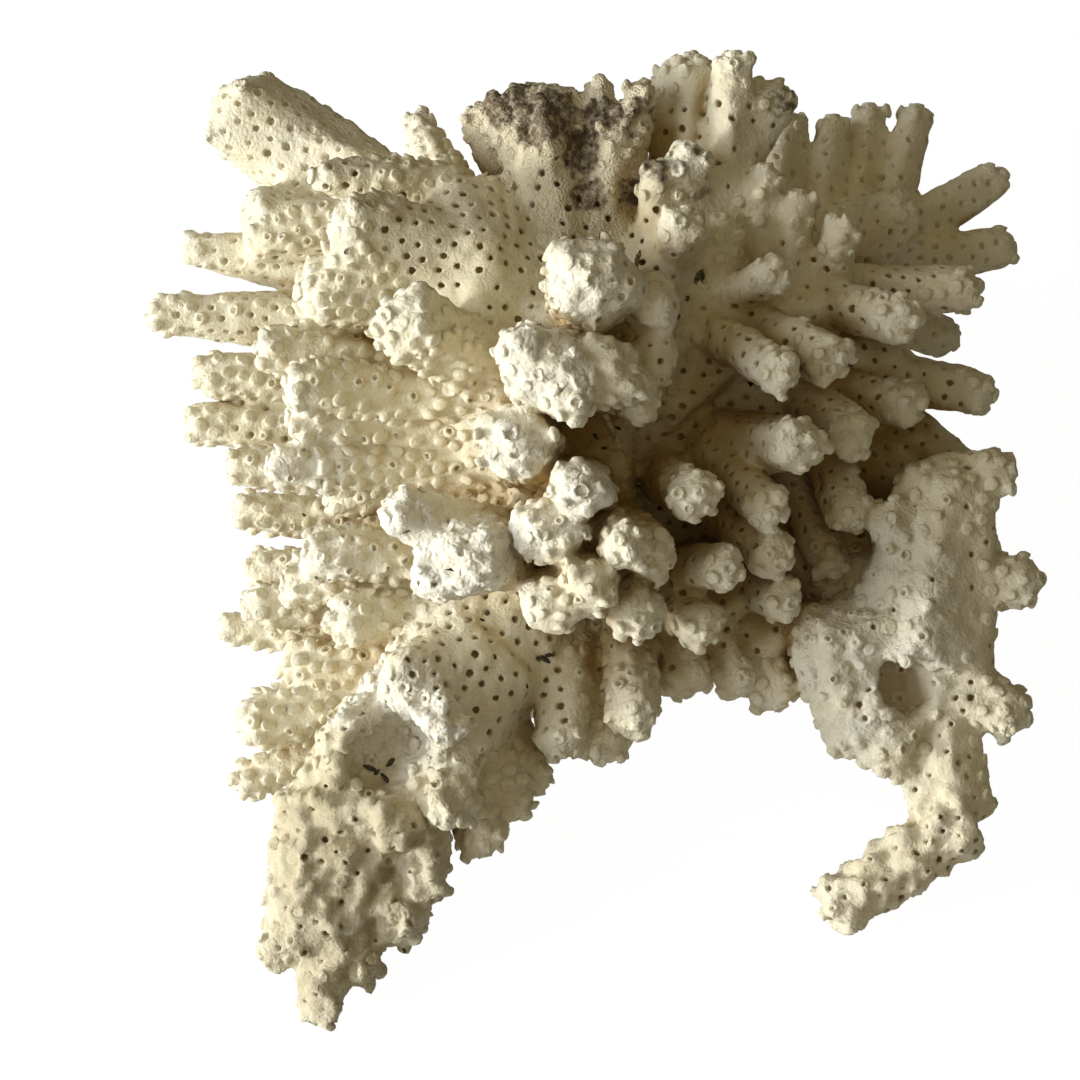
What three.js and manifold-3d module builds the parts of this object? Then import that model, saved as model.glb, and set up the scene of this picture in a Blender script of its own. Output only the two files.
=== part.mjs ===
// A bushy branching coral skeleton: a short trunk cut off flat at its foot, forked into limbs of knobbly
// fingers.
// Millimetres, Z up. The foot's flat cut lies on Z = 0 with its centre at the origin.
import * as THREE from "three";
import { mergeVertices } from "three/addons/utils/BufferGeometryUtils.js";
import Module from "manifold-3d";

const wasm = await Module();
wasm.setup();

// View that the limbs are laid out in: right, up and nearness are measured from its middle point.
const VIEW_ELEVATION = THREE.MathUtils.degToRad(52);
const VIEW_DISTANCE = 500;
const VIEW_MIDDLE = new THREE.Vector3(3, -8, 33);

// Trunk: radius and height of each station, its flattening from front to back and the lean of its top.
const TRUNK_STATIONS = [[20.5, 0], [19.5, 4], [16, 12], [15, 20], [16.5, 29], [17.5, 38], [14, 48]];
const TRUNK_TOP = 54;
const TRUNK_DEPTH_SHARE = 0.86;
const TRUNK_LEAN = new THREE.Vector2(5, 5);
const TRUNK_SIDES = 12;
const TRUNK_LUMP = 0.05;

// Fingers and stems: sides, ring spacing along the axis, height of the lumps as a share of the radius.
const FINGER_SIDES = 5;
const FINGER_RING_SPACING = 18;
const FINGER_FEWEST_RINGS = 1;
const FINGER_LUMP = 0.15;
const FINGER_LEAN = 1.1;
const FINGER_SAG = 0.16;
const STEM_SIDES = 6;
const STEM_RING_SPACING = 30;
const STEM_FEWEST_RINGS = 1;
const STEM_LUMP = 0.05;
const LUMP_SEED_STEP = 37;

// Domed ends as a share of the tip radius, and the widening that gives a faceted bar the bulk of a round one.
const END_DOME = 0.62;
const FACET_ALLOWANCE = 1.1;

// Gap kept between neighbouring limbs where they meet at a fork.
const FORK_GAP = 0.3;

// Colours of the skeleton: clean cream, and the weathered brown of the old stump.
const CREAM = 0xe9e0c6;
const WEATHERED = 0x8a7657;
const CHALK_ROUGHNESS = 0.92;

// Each limb: stem stations as [right, up, near, radius]; fingers as [root, tip, root radius, tip radius];
// hollows as [middle, radius] of the round pockets broken into it; colour where it isn't clean cream.
const LIMBS = [
  {
    name: "lower_right_limb",
    stem: [[8, 4, -13, 9.5], [33, 4, -15, 9.5], [49, -8, -8, 9.5], [56, -17, 0, 12], [61, 9, 3, 6.5]],
    fingers: [
      [[54, -15, 3], [38, -17, 8], 7, 6.2],
      [[54, -22, 3], [41.5, -27, 8], 6.8, 5.6],
      [[57, -22, 3], [49, -33.5, 8], 5.4, 4.6],
      [[59, -22, 2], [62, -43.5, 7], 5.2, 5],
      [[64, -42.5, 7], [42.5, -56, 9.5], 4.8, 3.6],
      [[57, -3, 5], [50.5, 5, 9], 4.4, 2.6],
      [[61, 8, 2], [71, 11, 6], 3.4, 3.2],
      [[60, -6, 2], [75, -6, 6], 4, 3.4],
      [[59, -20, 4], [73, -27, 8], 4.4, 3.6],
    ],
    hollows: [[[55.5, -21.5, 13.5], 5.5]],
  },
  {
    name: "rear_limb",
    stem: [[2, 18, -14, 9], [4, 30, -28, 7.5]],
    fingers: [
      [[4, 30, -26], [3, 47, -40], 3.6, 3.4],
      [[0, 30, -25], [-13, 42, -43], 3.4, 3.2],
      [[8, 30, -25], [19, 42, -43], 3.4, 3.2],
      [[4, 27, -27], [-6, 27, -50], 3.4, 3.2],
      [[5, 26, -26], [13, 22, -48], 3.4, 3.2],
      [[-2, 28, -22], [-25, 33, -40], 3.4, 3.2],
    ],
  },
  {
    name: "rear_right_limb",
    stem: [[13, 18, -10, 9], [36, 39, -17, 8], [52, 46, -22, 6.5]],
    fingers: [
      [[34.5, 42, -18], [37, 64, -24], 4.2, 3],
      [[42, 42, -19], [44, 63.5, -24], 2.8, 2.1],
      [[47, 45, -21], [49.5, 65, -28], 2.8, 2.2],
      [[52, 46, -22], [56.5, 65, -28], 2.8, 2.4],
      [[46, 40, -16], [54.5, 52, -11], 4, 3.6],
      [[52, 44, -21], [69, 55, -26], 3.4, 2.8],
      [[52, 42, -20], [71, 44, -22], 3.4, 3],
      [[42, 38, -20], [62, 30, -30], 3.6, 3.2],
      [[36, 36, -20], [46, 34, -42], 3.6, 3.2],
      [[30, 34, -18], [31, 40, -39], 3.6, 3.2],
      [[22, 28, -14], [17, 47, -26], 3.8, 3.2],
      [[29, 33, -14], [28, 53, -19], 3.8, 3.2],
    ],
  },
  {
    name: "rear_left_limb",
    stem: [[-7, 17, -10, 9.5], [-17, 36, -15, 8.5], [-27, 54, -19, 6]],
    fingers: [
      [[-26, 53, -19], [-48.5, 66.5, -22], 6.4, 7.2],
      [[-22, 47, -16], [-45, 48, -13], 5, 5.2],
      [[-18, 40, -15], [-53, 44, -20], 4.6, 2.2],
      [[-16, 34, -13], [-58, 34, -16], 5, 2.6],
      [[-22, 47, -18], [-32, 48, -38], 3.4, 3],
      [[-15, 34, -17], [-37, 33, -36], 3.4, 3],
      [[-14, 24, -12], [-51.5, 25, -12], 4.6, 3],
      [[-12, 17, -13], [-52.5, 17.5, -14], 4.4, 2.8],
      [[-9, 11, -9], [-46.5, 11, -8], 3.8, 2.6],
      [[-10, 15, -16], [-40, 17, -30], 3.4, 2.8],
    ],
  },
  {
    name: "lower_left_leg",
    stem: [[0, -2, -4, 9.5], [-8, -16, 9, 10], [-20, -31, 13, 10], [-30, -45, 12, 9], [-33, -62, 14, 7]],
    fingers: [
      [[-12, -18, 13], [-22, -21, 24], 4.6, 4.2],
      [[-24, -29, 16], [-30, -31, 26], 4.6, 3.8],
      [[-19, -22, 18], [-14.5, -30, 27], 4.4, 3.6],
      [[-22, -43, 14], [-23, -42, 24], 4.4, 3.4],
      [[-14, -30, 14], [-14, -42, 25], 4.4, 3.4],
      [[-29, -42, 11], [-40, -43, 13], 4.6, 3.8],
      [[-30, -50, 13], [-38, -55, 16], 4.4, 3.4],
      [[-33, -58, 14], [-41.5, -63, 16], 3.4, 1.9],
      [[-33, -60, 14], [-32, -72.5, 20], 4, 2.8],
      [[-30, -56, 14], [-25.5, -66, 18], 4, 2.6],
      [[-27, -47, 13], [-18.5, -60, 17], 4.8, 4.2],
      [[-18, -36, 14], [-16.5, -54, 19], 4, 2.4],
      [[-13, -30, 10], [-8, -47, 14], 4.4, 3],
      [[-9, -26, 8], [-3.5, -42, 12], 4, 2.8],
      [[-7, -24, 6], [0.5, -37, 9], 3.4, 1.9],
    ],
    hollows: [[[-22, -33, 25], 7.8]],
  },
  {
    name: "lower_middle_limb",
    stem: [[6, 0, -6, 9.5], [11, -9, 2, 8], [28, -8, -2, 7]],
    fingers: [
      [[5, -11, 4], [2.5, -32, 16], 4, 3.4],
      [[9, -11, 3], [9, -33, 12], 4, 3.4],
      [[13, -11, 4], [14, -28, 18], 3.6, 3.2],
      [[20, -10, 0], [22, -23, 7], 4, 3.4],
      [[26, -10, -2], [30.5, -23, 4], 3.4, 3.2],
      [[30, -9, -3], [36, -25, 2], 3.8, 3.4],
      [[30, -9, -3], [39, -15, 2], 4, 4],
      [[17, -5, 4], [28.5, -4, 24], 3.4, 2.7],
      [[17, -7, 4], [25, -13.5, 18], 3.4, 3.2],
      [[29, -6, 0], [37.5, -9, 14], 3.4, 2.8],
    ],
  },
  {
    name: "right_middle_limb",
    stem: [[12, 14, -6, 10], [32, 21, -7, 9], [52, 26, -12, 7.5]],
    fingers: [
      [[15, 17, 6], [29.5, 18, 28], 3.4, 3],
      [[26, 16, 0], [40.5, 14.5, 24], 3.6, 3.4],
      [[38, 22, -3], [48, 15, 14], 3.4, 3],
      [[42, 22, -5], [57, 20.5, 6], 3.4, 2.9],
      [[40, 20, -6], [47.5, 2.5, 10], 3.4, 2.9],
      [[17, 11, 3], [24, 6.5, 30], 3.4, 2.9],
      [[24, 14, 0], [35, 4, 22], 3.4, 2.9],
      [[22, 12, -1], [36, -3.5, 18], 3.6, 3.2],
      [[34, 18, -8], [44, -5, 4], 3.4, 2],
      [[50, 25, -10], [68, 22, -4], 3.4, 3],
      [[48, 22, -12], [66, 9, -10], 3.4, 2.8],
      [[41, 17, -11], [59, 5, -11], 5.4, 4.6],
    ],
  },
  {
    name: "right_upper_limb",
    stem: [[14, 22, -1, 9], [27, 33, 4, 7.5], [43, 37, -2, 6]],
    fingers: [
      [[26, 33, 4], [27, 48.5, 11], 3.8, 3],
      [[32, 37, 3], [33.5, 56, 9], 2.6, 2],
      [[37, 36, 2], [38.5, 52, 8], 2.6, 2.1],
      [[43.5, 36, 0], [45, 48, 9], 2.6, 2.2],
      [[28, 35, 7], [36, 41, 17], 2.8, 2.4],
      [[41, 36, 0], [56, 33, 13], 3.3, 3.1],
      [[31, 32, 5], [45, 26.5, 20], 3.4, 3.2],
      [[26, 31, 8], [37, 24.5, 26], 3.2, 2.6],
      [[44, 37, -3], [66, 38, 1], 3.6, 3],
    ],
  },
  {
    name: "top_right_limb",
    stem: [[12, 26, 0, 9], [20, 41, 5, 8], [25, 54, 2, 6.5]],
    fingers: [
      [[22, 52, 0], [22.5, 73, 1], 4.6, 4.6],
      [[28, 51, 3], [29, 73, 8], 4, 2.2],
      [[28, 56, 2], [36, 68.5, 4], 3.6, 3.2],
      [[20, 47, 5], [22.5, 59, 14], 3.4, 2.7],
      [[18, 44, 7], [17.5, 56.5, 14], 3, 2.2],
      [[21, 42, 8], [21, 48, 19], 3.4, 2.6],
    ],
  },
  {
    name: "top_limb",
    colour: WEATHERED,
    stem: [[2, 26, 1, 9.5], [4, 45, 3, 8.5]],
    fingers: [
      [[4, 45, 3], [-1, 68.5, 6], 6.2, 6],
      [[-1, 57, 4], [-7, 66.5, 5], 3.6, 2.8],
      [[3, 57, 3], [6, 67, 4], 3.6, 2.6],
      [[10, 46, 4], [12, 64, 8], 4.4, 3.8],
      [[11, 58, 6], [8.5, 68.5, 6], 2.4, 1.6],
      [[13, 60, 7], [15.5, 68.5, 8], 2.6, 1.8],
      [[2, 42, -1], [-10, 64, -9], 3.4, 2],
    ],
  },
  {
    name: "lower_left_limb",
    stem: [[-5, 4, -3, 9], [-12, -5, 4, 8], [-17, -18, 3, 7]],
    fingers: [
      [[-13, -3, 7], [-35, -1.5, 14], 3.4, 3.2],
      [[-14, -7, 4], [-38.5, -6, 8], 3.4, 2.6],
      [[-13, -11, 6], [-31, -12, 14], 3.4, 3.2],
      [[-16, -17, 3], [-38.5, -19.5, 4], 3.8, 3.6],
      [[-17, -20, 3], [-44.5, -28, 4], 4.2, 3.8],
      [[-10, 2, -2], [-45.5, 4.5, -2], 3.4, 2.2],
      [[-14, -5, 0], [-43.5, -4, -4], 3.4, 2.5],
      [[-15, -11, 1], [-44, -9.5, 2], 3.4, 2.9],
      [[-16, -15, 0], [-47.5, -13, -4], 3.4, 1.9],
      [[-17, -22, 0], [-45, -37, -2], 3.6, 2.3],
    ],
  },
  {
    name: "upper_left_limb",
    stem: [[-5, 14, 2, 9.5], [-7, 26, 8, 9.5], [-8, 40, 7, 9.5], [-13, 50, 4, 7]],
    fingers: [
      [[-13, 53, 5], [-35, 55, 12], 3.4, 2.8],
      [[-8, 44, 10], [-31, 49, 18], 4.2, 3.4],
      [[-9, 40, 10], [-31.5, 44, 17], 3.8, 3],
      [[-12, 49, 0], [-19, 63.5, -12], 4.6, 1.5],
      [[-10, 36, 8], [-36, 37, 14], 4.6, 4.6],
      [[-6, 26, 12], [-23, 34, 28], 4.8, 4.8],
      [[-10, 26, 8], [-42, 29, 12], 3.8, 3],
      [[-9, 22, 11], [-38, 23.5, 18], 3.4, 3.4],
      [[-9, 18, 7], [-37.5, 18.5, 12], 3.8, 3.6],
      [[-4, 11, 6], [-40.5, 11.5, 12], 3.4, 2.7],
      [[-6, 9, 3], [-32, 6.5, 8], 3.4, 2.6],
    ],
  },
  {
    name: "front_limb",
    stem: [[5, 3, 10, 8.5], [4, 16, 10, 9], [8, 33, 13, 9]],
    fingers: [
      [[1, 12, 14], [-4.5, 15.5, 36], 4.4, 4.8],
      [[6, 8, 15], [6, 7.5, 37], 3.6, 3.6],
      [[4, 2, 14], [0.5, 1, 34], 4.2, 4.2],
      [[-2, -1, 13], [-12.5, -3, 33], 5, 4.8],
      [[-8, 1, 18], [-22.5, 4, 30], 3.8, 3.2],
      [[-6, -3, 18], [-18, -5.5, 28], 4, 3.8],
      [[9, 4, 14], [13.5, -1.5, 34], 3.2, 2.8],
      [[7, -2, 13], [7.5, -8, 34], 3.4, 3.4],
      [[4, -4, 11], [1.5, -11, 32], 4, 4],
      [[11, 3, 11], [17.5, -2.5, 28], 3.4, 3.4],
      [[11, -2, 9], [15, -12, 26], 3.6, 3.6],
      [[9, 35, 15], [7.5, 40, 38], 6, 6.2],
      [[12, 34, 16], [18.5, 36, 30], 3.8, 3.6],
      [[4, 25, 15], [0.5, 26, 40], 6, 6],
      [[8, 25, 17], [10.5, 25.5, 38], 4.6, 4.6],
      [[1, 27, 30], [-4, 29.5, 39], 3.2, 3.2],
      [[3, 24, 30], [5, 20.5, 39], 3, 2.8],
      [[12, 28, 15], [18, 28, 28], 3.8, 3.6],
      [[9, 23, 15], [15.5, 21.5, 30], 3.4, 3.2],
    ],
  },
];

// A point of the layout view in the part's own frame. Nearer points spread less, so that they look right.
function placed([right, up, near]) {
  const spread = 1 - near / VIEW_DISTANCE;
  const sine = Math.sin(VIEW_ELEVATION);
  const cosine = Math.cos(VIEW_ELEVATION);
  return new THREE.Vector3(
    right * spread,
    up * spread * sine - near * cosine,
    up * spread * cosine + near * sine,
  ).add(VIEW_MIDDLE);
}

// A repeatable irregularity between -1 and 1 for the lump on one side of one ring.
function uneven(side, ring) {
  return 2 * THREE.MathUtils.seededRandom(1 + side + ring * LUMP_SEED_STEP) - 1;
}

function joinedGeometry(geometry) {
  geometry.deleteAttribute("normal");
  geometry.deleteAttribute("uv");
  return mergeVertices(geometry, 1e-4);
}

function solidOf(geometry) {
  const mesh = new wasm.Mesh({
    numProp: 3,
    vertProperties: new Float32Array(geometry.attributes.position.array),
    triVerts: new Uint32Array(geometry.index.array),
  });
  return new wasm.Manifold(mesh);
}

// Which side of a bar or of the trunk a point is on, counted around its axis.
function sideOf(across, deep, sides) {
  const turns = Math.atan2(deep, across) / (2 * Math.PI);
  return (Math.round(turns * sides) + sides) % sides;
}

// A tapered bar with a domed end, whose rings swell and shrink by turns into lumps that lean to the tip.
function knobblyBar(root, tip, rootRadius, tipRadius, look) {
  const reach = look.domeBeyondTip ? tipRadius * END_DOME : 0;
  const length = root.distanceTo(tip) + reach;
  const rings = Math.max(look.fewest, Math.round(length / look.spacing));
  const domeStart = Math.max(length - tipRadius * END_DOME, length / 2);
  const profile = [new THREE.Vector2(0, -look.grow)];
  for (let ring = 0; ring <= rings; ring += 1) {
    const radius = FACET_ALLOWANCE * THREE.MathUtils.lerp(rootRadius, tipRadius, ring / rings) + look.grow;
    profile.push(new THREE.Vector2(radius, ring === 0 ? -look.grow : (ring / rings) * domeStart));
  }
  profile.push(new THREE.Vector2(0, length + look.grow));
  const geometry = joinedGeometry(new THREE.LatheGeometry(profile, look.sides));
  const turn = new THREE.Quaternion();
  turn.setFromUnitVectors(new THREE.Vector3(0, 1, 0), tip.clone().sub(root).normalize());
  const position = geometry.attributes.position;
  const point = new THREE.Vector3();
  for (let i = 0; i < position.count; i += 1) {
    point.fromBufferAttribute(position, i);
    const onRing = Math.hypot(point.x, point.z) > 1e-3;
    const along = THREE.MathUtils.clamp(point.y / length, 0, 1);
    const ring = Math.round((Math.max(point.y, 0) / domeStart) * rings);
    const side = sideOf(point.z, point.x, look.sides);
    const swells = (side + ring) % 2 === 0;
    const swell = 1 + look.lump * ((swells ? 1 : -0.5) + 0.5 * uneven(side + look.seed, ring));
    point.x *= swell;
    point.z *= swell;
    point.y += onRing && ring > 0 && swells ? look.lean : 0;
    point.applyQuaternion(turn).add(root);
    point.z += look.sag * length * (along * along - along);
    position.setXYZ(i, point.x, point.y, point.z);
  }
  return solidOf(geometry);
}

function finger([root, tip, rootRadius, tipRadius], seed, grow) {
  return knobblyBar(placed(root), placed(tip), rootRadius, tipRadius, {
    sides: FINGER_SIDES,
    spacing: FINGER_RING_SPACING,
    fewest: FINGER_FEWEST_RINGS,
    lump: FINGER_LUMP,
    lean: FINGER_LEAN,
    sag: FINGER_SAG,
    domeBeyondTip: false,
    seed,
    grow,
  });
}

function stemLength(from, to, seed, grow) {
  return knobblyBar(placed(from), placed(to), from[3], to[3], {
    sides: STEM_SIDES,
    spacing: STEM_RING_SPACING,
    fewest: STEM_FEWEST_RINGS,
    lump: STEM_LUMP,
    lean: 0,
    sag: 0,
    domeBeyondTip: true,
    seed,
    grow,
  });
}

function pocket([middle, radius]) {
  const geometry = joinedGeometry(new THREE.IcosahedronGeometry(radius, 1));
  const centre = placed(middle);
  geometry.translate(centre.x, centre.y, centre.z);
  return solidOf(geometry);
}

function limbSolid(limb, grow) {
  const bars = [];
  for (let i = 1; i < limb.stem.length; i += 1) {
    bars.push(stemLength(limb.stem[i - 1], limb.stem[i], i, grow));
  }
  limb.fingers.forEach((listed, i) => bars.push(finger(listed, i, grow)));
  return bars.reduce((joined, bar) => joined.add(bar));
}

// The trunk stands straight on its flat cut and leans as it rises.
function trunkSolid(grow) {
  const profile = [new THREE.Vector2(0, 0)];
  TRUNK_STATIONS.forEach(([radius, height]) => profile.push(new THREE.Vector2(radius + grow, height)));
  profile.push(new THREE.Vector2(0, TRUNK_TOP + grow));
  const geometry = joinedGeometry(new THREE.LatheGeometry(profile, TRUNK_SIDES));
  geometry.rotateX(Math.PI / 2);
  const position = geometry.attributes.position;
  for (let i = 0; i < position.count; i += 1) {
    const height = position.getZ(i);
    const share = height / TRUNK_TOP;
    const side = sideOf(-position.getY(i), position.getX(i), TRUNK_SIDES);
    const swell = 1 + TRUNK_LUMP * uneven(side, Math.round(height));
    const x = position.getX(i) * swell + TRUNK_LEAN.x * share;
    const y = position.getY(i) * swell * TRUNK_DEPTH_SHARE + TRUNK_LEAN.y * share;
    position.setXYZ(i, x, y, height);
  }
  return solidOf(geometry);
}

function largestBody(solid) {
  return solid.decompose().reduce((best, body) => (body.volume() > best.volume() ? body : best));
}

function named(name, solid, colour) {
  const mesh = solid.getMesh();
  const geometry = new THREE.BufferGeometry();
  geometry.setAttribute("position", new THREE.Float32BufferAttribute(mesh.vertProperties, 3));
  geometry.setIndex(new THREE.Uint32BufferAttribute(mesh.triVerts, 1));
  geometry.computeVertexNormals();
  const material = new THREE.MeshStandardMaterial({
    color: colour,
    roughness: CHALK_ROUGHNESS,
    metalness: 0,
  });
  const made = new THREE.Mesh(geometry, material);
  made.name = name;
  return made;
}

// Each limb is cut back from the trunk and from the limbs before it, which leaves the gap at every fork.
const coral = new THREE.Group();
coral.name = "branching_coral";
coral.add(named("trunk", trunkSolid(0), CREAM));
let taken = trunkSolid(FORK_GAP);
for (const limb of LIMBS) {
  let solid = limbSolid(limb, 0);
  for (const hollow of limb.hollows ?? []) {
    solid = solid.subtract(pocket(hollow));
  }
  coral.add(named(limb.name, largestBody(solid.subtract(taken)), limb.colour ?? CREAM));
  taken = taken.add(limbSolid(limb, FORK_GAP));
}

export default coral;
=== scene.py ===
import bmesh
import bpy
import heapq
import math
import random
import time
from mathutils import Matrix, Vector, noise
from mathutils.bvhtree import BVHTree
from mathutils.kdtree import KDTree


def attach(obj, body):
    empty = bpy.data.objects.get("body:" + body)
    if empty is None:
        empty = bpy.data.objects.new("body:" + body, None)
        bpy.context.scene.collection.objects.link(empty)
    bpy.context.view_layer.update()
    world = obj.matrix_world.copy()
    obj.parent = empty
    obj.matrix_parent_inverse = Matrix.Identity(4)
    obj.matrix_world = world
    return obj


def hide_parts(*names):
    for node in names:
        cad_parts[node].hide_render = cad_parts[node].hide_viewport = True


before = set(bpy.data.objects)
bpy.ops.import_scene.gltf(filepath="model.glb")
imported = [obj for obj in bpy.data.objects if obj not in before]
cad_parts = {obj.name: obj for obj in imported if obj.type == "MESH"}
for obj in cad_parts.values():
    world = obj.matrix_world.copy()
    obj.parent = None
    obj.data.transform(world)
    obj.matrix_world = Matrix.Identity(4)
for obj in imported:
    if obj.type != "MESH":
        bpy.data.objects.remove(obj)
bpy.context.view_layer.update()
nodeNames = sorted(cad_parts)
mm = 0.001
dice = random.Random(8)
started = time.time()


def report(words):
    print(f"[{time.time() - started:5.1f} s] {words}")


# the camera of the photo: how steeply it looks down, from how far, at what point, and one pixel's size there
photoView = {
    "steepness": math.radians(52),
    "distance": 500 * mm,
    "middle": Vector((3, -8, 33)) * mm,
    "pixel": 0.15 * mm,
    "pixels": 1080,
    "sensor": 36,
}
viewRight = Vector((1, 0, 0))
viewUp = Vector((0, math.sin(photoView["steepness"]), math.cos(photoView["steepness"])))
viewNear = Vector((0, -math.cos(photoView["steepness"]), math.sin(photoView["steepness"])))
eye = photoView["middle"] + viewNear * photoView["distance"]


def sightLine(across, down):
    half = photoView["pixels"] / 2
    spot = photoView["middle"] + viewRight * ((across - half) * photoView["pixel"])
    spot = spot + viewUp * ((half - down) * photoView["pixel"])
    return (spot - eye).normalized()


# the grown body: limbs swollen over their fork gaps, fused on a fine grid and softened
skeleton = {
    "swell": 0.3 * mm,
    "grid": 0.76 * mm,
    "softenings": 7,
    "regrow": 0.35 * mm,
    "lumpSize": 5 * mm,
    "lumpHeight": 0.9 * mm,
    "footClamp": 0.35 * mm,
    "endSides": (4, 5, 6, 7),
    "endEvenness": 2.2,
    "keptAbove": 0.35,
    "plainAbove": 0.82,
    "plainSoftenings": 45,
}


def isDomedEnd(vert):
    lengths = [edge.calc_length() for edge in vert.link_edges]
    if len(lengths) not in skeleton["endSides"] or max(lengths) > skeleton["endEvenness"] * min(lengths):
        return False
    drops = [(edge.other_vert(vert).co - vert.co).normalized().dot(vert.normal) for edge in vert.link_edges]
    return sum(drops) < -0.1 * len(drops)


def fingerEndsOf(name):
    limb = bmesh.new()
    limb.from_mesh(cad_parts[name].data)
    bmesh.ops.remove_doubles(limb, verts=limb.verts, dist=1e-6)
    limb.normal_update()
    ends = [vert.co.copy() for vert in limb.verts if isDomedEnd(vert)]
    limb.free()
    return ends


def fusedSkeleton():
    joined = bmesh.new()
    for name in nodeNames:
        joined.from_mesh(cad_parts[name].data)
    bmesh.ops.remove_doubles(joined, verts=joined.verts, dist=1e-6)
    joined.normal_update()
    for vert in joined.verts:
        vert.co += vert.normal * skeleton["swell"]
    mesh = bpy.data.meshes.new("joinedLimbs")
    joined.to_mesh(mesh)
    joined.free()
    holder = bpy.data.objects.new("joinedLimbs", mesh)
    bpy.context.scene.collection.objects.link(holder)
    fuse = holder.modifiers.new("fuse", "REMESH")
    fuse.mode = "VOXEL"
    fuse.voxel_size = skeleton["grid"]
    soften = holder.modifiers.new("soften", "SMOOTH")
    soften.factor = 0.5
    soften.iterations = skeleton["softenings"]
    regrow = holder.modifiers.new("regrow", "DISPLACE")
    regrow.mid_level = 0
    regrow.strength = skeleton["regrow"]
    lumpTexture = bpy.data.textures.new("lumps", "CLOUDS")
    lumpTexture.noise_scale = skeleton["lumpSize"]
    lumpTexture.noise_depth = 2
    lumps = holder.modifiers.new("lumps", "DISPLACE")
    lumps.texture = lumpTexture
    lumps.texture_coords = "LOCAL"
    lumps.mid_level = 0.5
    lumps.strength = skeleton["lumpHeight"]
    graph = bpy.context.evaluated_depsgraph_get()
    shape = bpy.data.meshes.new_from_object(holder.evaluated_get(graph))
    bpy.data.objects.remove(holder)
    fused = bmesh.new()
    fused.from_mesh(shape)
    bpy.data.meshes.remove(shape)
    bmesh.ops.delete(fused, geom=strayVerts(fused), context="VERTS")
    for vert in fused.verts:
        if vert.co.z < skeleton["footClamp"]:
            vert.co.z = 0
    return fused


def strayVerts(mesh):
    islands = []
    met = set()
    for start in mesh.verts:
        if start in met:
            continue
        island = [start]
        met.add(start)
        for vert in island:
            for edge in vert.link_edges:
                other = edge.other_vert(vert)
                if other not in met:
                    met.add(other)
                    island.append(other)
        islands.append(island)
    islands.sort(key=len)
    return [vert for island in islands[:-1] for vert in island]


coral = fusedSkeleton()
fingerEnds = [end for name in nodeNames if name != "trunk" for end in fingerEndsOf(name)]
coral.verts.ensure_lookup_table()
coral.verts.index_update()
count = len(coral.verts)
neighbours = [[] for index in range(count)]
for edge in coral.edges:
    a, b = edge.verts[0].index, edge.verts[1].index
    length = edge.calc_length()
    neighbours[a].append((b, length))
    neighbours[b].append((a, length))
report(f"skeleton fused: {count} points, {len(coral.faces)} faces, {len(fingerEnds)} finger ends")


def pointTree():
    tree = KDTree(count)
    for vert in coral.verts:
        tree.insert(vert.co, vert.index)
    tree.balance()
    return tree


def walkedFrom(starts, limit):
    walked = [limit] * count
    queue = [(0.0, index) for index in starts]
    for index in starts:
        walked[index] = 0.0
    heapq.heapify(queue)
    while queue:
        far, index = heapq.heappop(queue)
        if far > walked[index]:
            continue
        for other, length in neighbours[index]:
            reach = far + length
            if reach < walked[other]:
                walked[other] = reach
                heapq.heappush(queue, (reach, other))
    return walked


# growth: how far each point is from the nearest finger end along the surface, and the way there
growth = {"longest": 400 * mm, "fade": 45 * mm}
nearPlaces = pointTree()
tips = sorted({nearPlaces.find(end)[1] for end in fingerEnds})
toTip = walkedFrom(tips, growth["longest"])

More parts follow.
